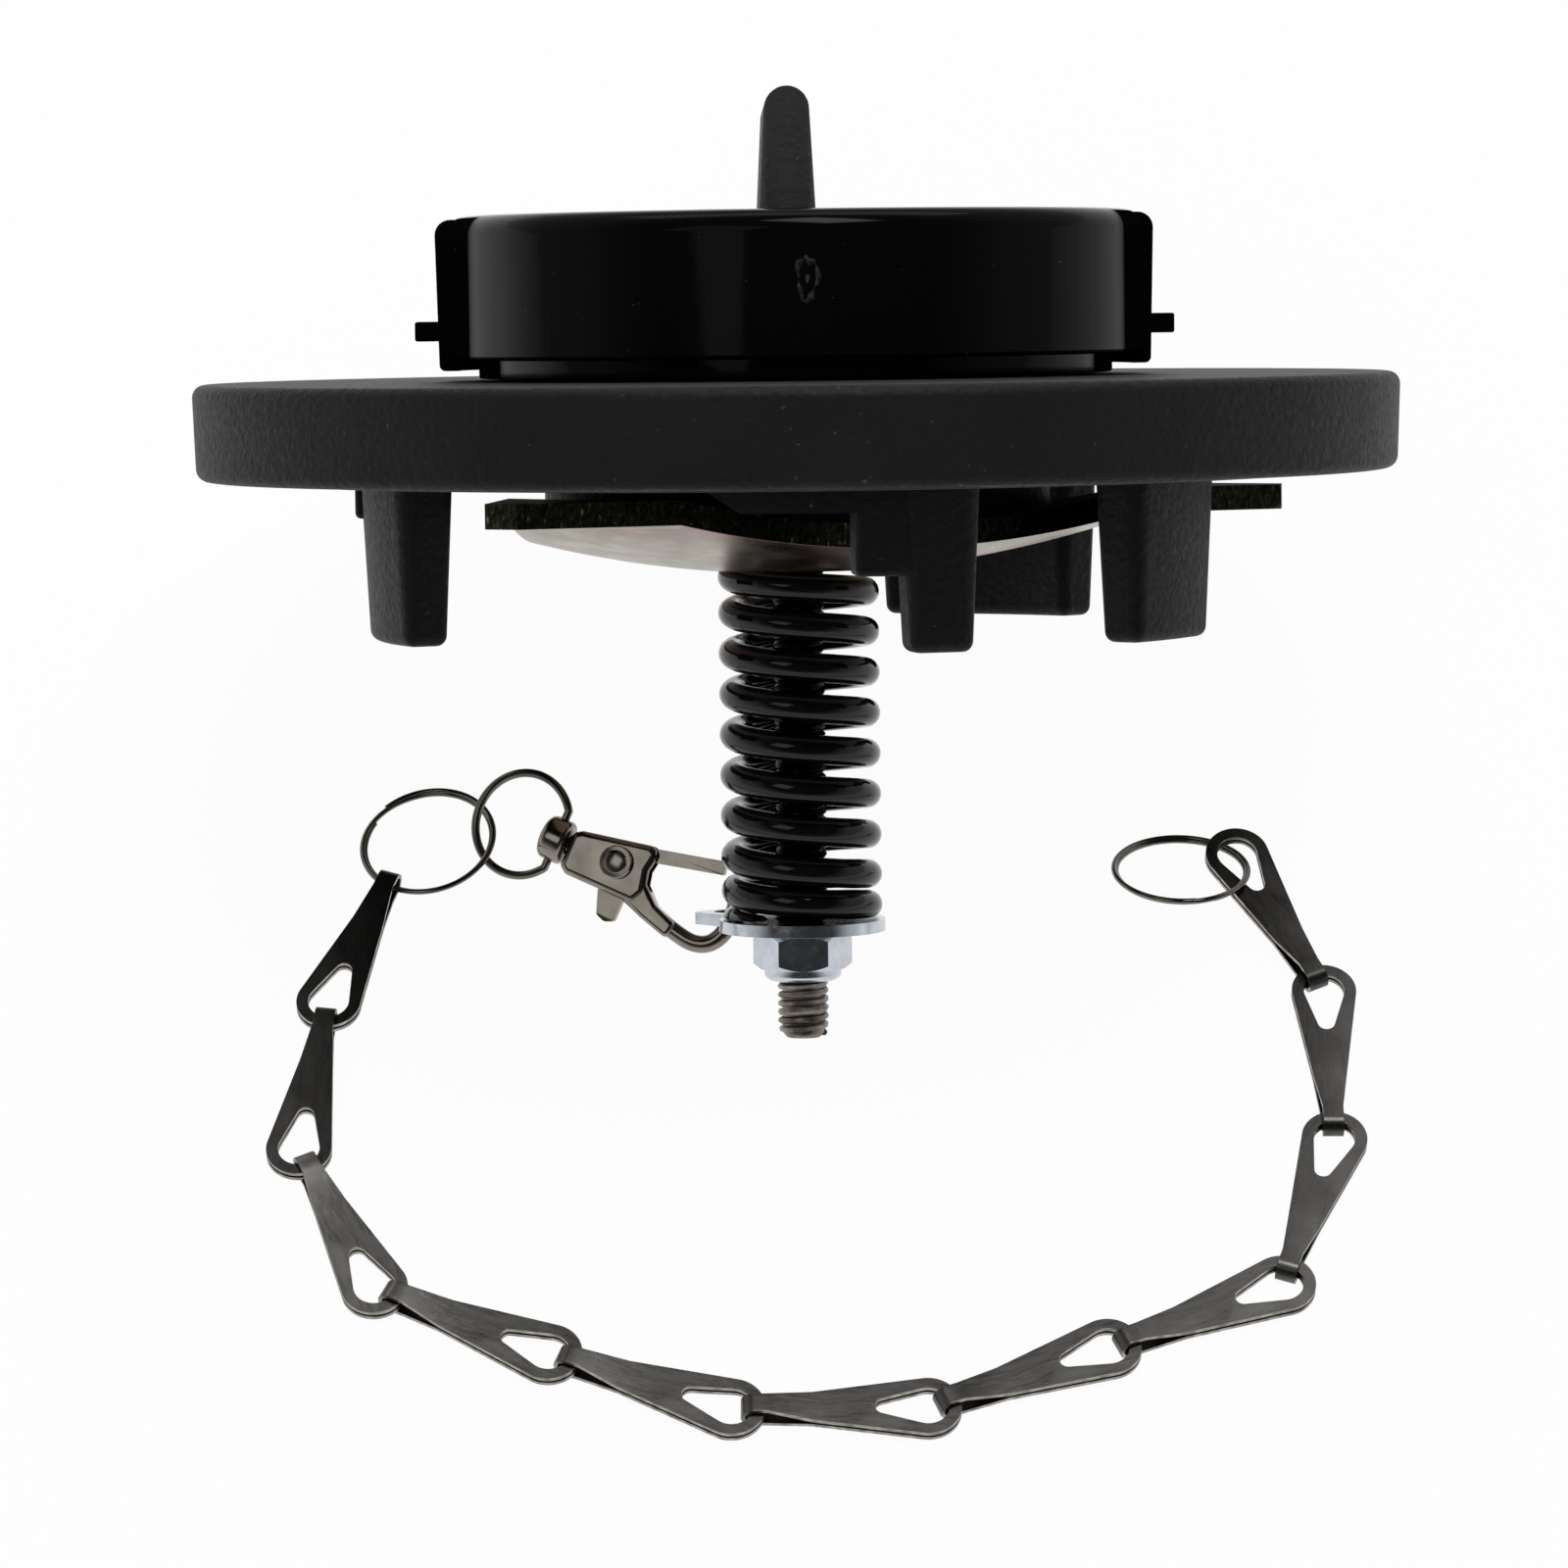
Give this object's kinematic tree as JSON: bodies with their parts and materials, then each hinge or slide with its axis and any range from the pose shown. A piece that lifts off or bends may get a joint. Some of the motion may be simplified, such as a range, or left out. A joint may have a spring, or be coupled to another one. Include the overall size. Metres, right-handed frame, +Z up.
{
  "type": "lockable tank filler cap",
  "caption": "Round lockable tank filler cap with a finned knob, a spring-loaded triangular lock plate on a central stud, and a retaining chain on a snap clasp.",
  "frame": {"origin": "middle of the footprint on the table, z = 0 where the rim and the stud tip rest", "axes": "+Z up from the table, -Y from the cap towards the loop of the chain; the cap's own axis leans back in the YZ plane"},
  "size_m": [0.1398, 0.1602, 0.105],
  "materials": {
    "grained_black": "fine leather grain",
    "gloss_black": "smooth and glossy",
    "seal_rubber": "matt",
    "stud_steel": "brownish zinc on a rolled thread",
    "spring_enamel": "glossy black enamel",
    "bright_zinc": "bright zinc",
    "yellow_zinc": "yellow chromated zinc with sheared edges",
    "lock_brass": "plain",
    "dark_nickel": "dark nickel",
    "gunmetal": "dark nickel sheet with brighter edges"
  },
  "bodies": {
    "lid": {"lid": "grained_black", "neck_gasket": "seal_rubber", "stud": "stud_steel", "compression_spring": "spring_enamel", "tab_washer": "bright_zinc", "lock_nut": "bright_zinc", "retaining_washer": "bright_zinc"},
    "plate": {"lock_plate": "yellow_zinc"},
    "knob": {"knob_base": "gloss_black", "lock_housing": "grained_black", "front_cover": "gloss_black", "grip_fin": "grained_black"},
    "rear_cover": {"rear_cover": "gloss_black"},
    "lock": {"lock_plug": "lock_brass", "lock_tongue": "bright_zinc"},
    "clasp": {"clasp_body": "dark_nickel", "clasp_rivet": "dark_nickel"},
    "gate": {"clasp_gate": "dark_nickel"},
    "swivel": {"swivel_barrel": "dark_nickel"},
    "bail": {"swivel_bail": "dark_nickel"},
    "ring_near": {"split_ring_near": "dark_nickel"},
    "link_01_body": {"link_01": "gunmetal"},
    "link_02_body": {"link_02": "gunmetal"},
    "link_03_body": {"link_03": "gunmetal"},
    "link_04_body": {"link_04": "gunmetal"},
    "link_05_body": {"link_05": "gunmetal"},
    "link_06_body": {"link_06": "gunmetal"},
    "link_07_body": {"link_07": "gunmetal"},
    "link_08_body": {"link_08": "gunmetal"},
    "link_09_body": {"link_09": "gunmetal"},
    "link_10_body": {"link_10": "gunmetal"},
    "link_11_body": {"link_11": "gunmetal"},
    "ring_end": {"split_ring_end": "dark_nickel"}
  },
  "joints": [
    {"name": "plate_slide", "type": "slide", "parent": "lid", "child": "plate", "axis": [0.0123, -0.7043, -0.7098], "range_m": [0, 0.008], "stiffness_N_per_m": 1200, "deforming": ["compression_spring"]},
    {"name": "knob_turn", "type": "hinge", "parent": "lid", "child": "knob", "pos_m": [0.00013, 0.02319, 0.0484], "axis": [-0.0123, 0.7043, 0.7098], "continuous": true},
    {"name": "rear_cover_slide", "type": "slide", "parent": "knob", "child": "rear_cover", "axis": [-0.0124, 0.7097, -0.7044], "range_m": [0, 0.03]},
    {"name": "lock_turn", "type": "hinge", "parent": "knob", "child": "lock", "pos_m": [0.01791, 0.03557, 0.03642], "axis": [-0.0123, 0.7043, 0.7098], "range_deg": [0, 90]},
    {"name": "clasp_swing", "type": "hinge", "parent": "lid", "child": "clasp", "pos_m": [-0.00764, -0.00706, 0.00403], "axis": [0.3988, 0.6859, 0.6087], "range_deg": [-12, 4]},
    {"name": "gate_open", "type": "hinge", "parent": "clasp", "child": "gate", "pos_m": [-0.02085, 0.00014, 0.00538], "axis": [-0.2287, -0.5683, 0.7904], "range_deg": [-12, 0], "stiffness_Nm_per_rad": 0.01},
    {"name": "swivel_turn", "type": "hinge", "parent": "clasp", "child": "swivel", "pos_m": [-0.02709, 0.00289, 0.00555], "axis": [0.888, -0.4544, -0.0698], "range_deg": [-12, 4]},
    {"name": "bail_turn", "type": "hinge", "parent": "swivel", "child": "bail", "pos_m": [-0.02851, 0.00362, 0.00566], "axis": [0.3988, 0.6859, 0.6087], "range_deg": [-12, 4]},
    {"name": "ring_near_turn", "type": "hinge", "parent": "bail", "child": "ring_near", "pos_m": [-0.04407, 0.00627, 0.00215], "axis": [-0.1423, 0.0099, 0.9898], "range_deg": [-15, 4]},
    {"name": "link_01_turn", "type": "hinge", "parent": "ring_near", "child": "link_01_body", "pos_m": [-0.04875, 0, 0.00145], "axis": [0, 0, 1], "range_deg": [-25, 4]},
    {"name": "link_02_turn", "type": "hinge", "parent": "link_01_body", "child": "link_02_body", "pos_m": [-0.05489, -0.01814, 0.00145], "axis": [0, 0, 1], "range_deg": [-30, 4]},
    {"name": "link_03_turn", "type": "hinge", "parent": "link_02_body", "child": "link_03_body", "pos_m": [-0.05729, -0.03993, 0.00145], "axis": [0, 0, 1], "range_deg": [-30, 4]},
    {"name": "link_04_turn", "type": "hinge", "parent": "link_03_body", "child": "link_04_body", "pos_m": [-0.04775, -0.05967, 0.00145], "axis": [0, 0, 1], "range_deg": [-30, 4]},
    {"name": "link_05_turn", "type": "hinge", "parent": "link_04_body", "child": "link_05_body", "pos_m": [-0.02782, -0.06879, 0.00145], "axis": [0, 0, 1], "range_deg": [-30, 4]},
    {"name": "link_06_turn", "type": "hinge", "parent": "link_05_body", "child": "link_06_body", "pos_m": [-0.00723, -0.07633, 0.00145], "axis": [0, 0, 1], "range_deg": [-30, 4]},
    {"name": "link_07_turn", "type": "hinge", "parent": "link_06_body", "child": "link_07_body", "pos_m": [0.01469, -0.07621, 0.00145], "axis": [0, 0, 1], "range_deg": [-30, 4]},
    {"name": "link_08_turn", "type": "hinge", "parent": "link_07_body", "child": "link_08_body", "pos_m": [0.03504, -0.06807, 0.00145], "axis": [0, 0, 1], "range_deg": [-30, 4]},
    {"name": "link_09_turn", "type": "hinge", "parent": "link_08_body", "child": "link_09_body", "pos_m": [0.0551, -0.05922, 0.00145], "axis": [0, 0, 1], "range_deg": [-30, 4]},
    {"name": "link_10_turn", "type": "hinge", "parent": "link_09_body", "child": "link_10_body", "pos_m": [0.06216, -0.03847, 0.00145], "axis": [0, 0, 1], "range_deg": [-30, 4]},
    {"name": "link_11_turn", "type": "hinge", "parent": "link_10_body", "child": "link_11_body", "pos_m": [0.06216, -0.01655, 0.00145], "axis": [0, 0, 1], "range_deg": [-30, 4]},
    {"name": "ring_end_turn", "type": "hinge", "parent": "link_11_body", "child": "ring_end", "pos_m": [0.04595, 0.00077, 0.0034], "axis": [0, 0.3665, 0.9304], "continuous": true}
  ]
}
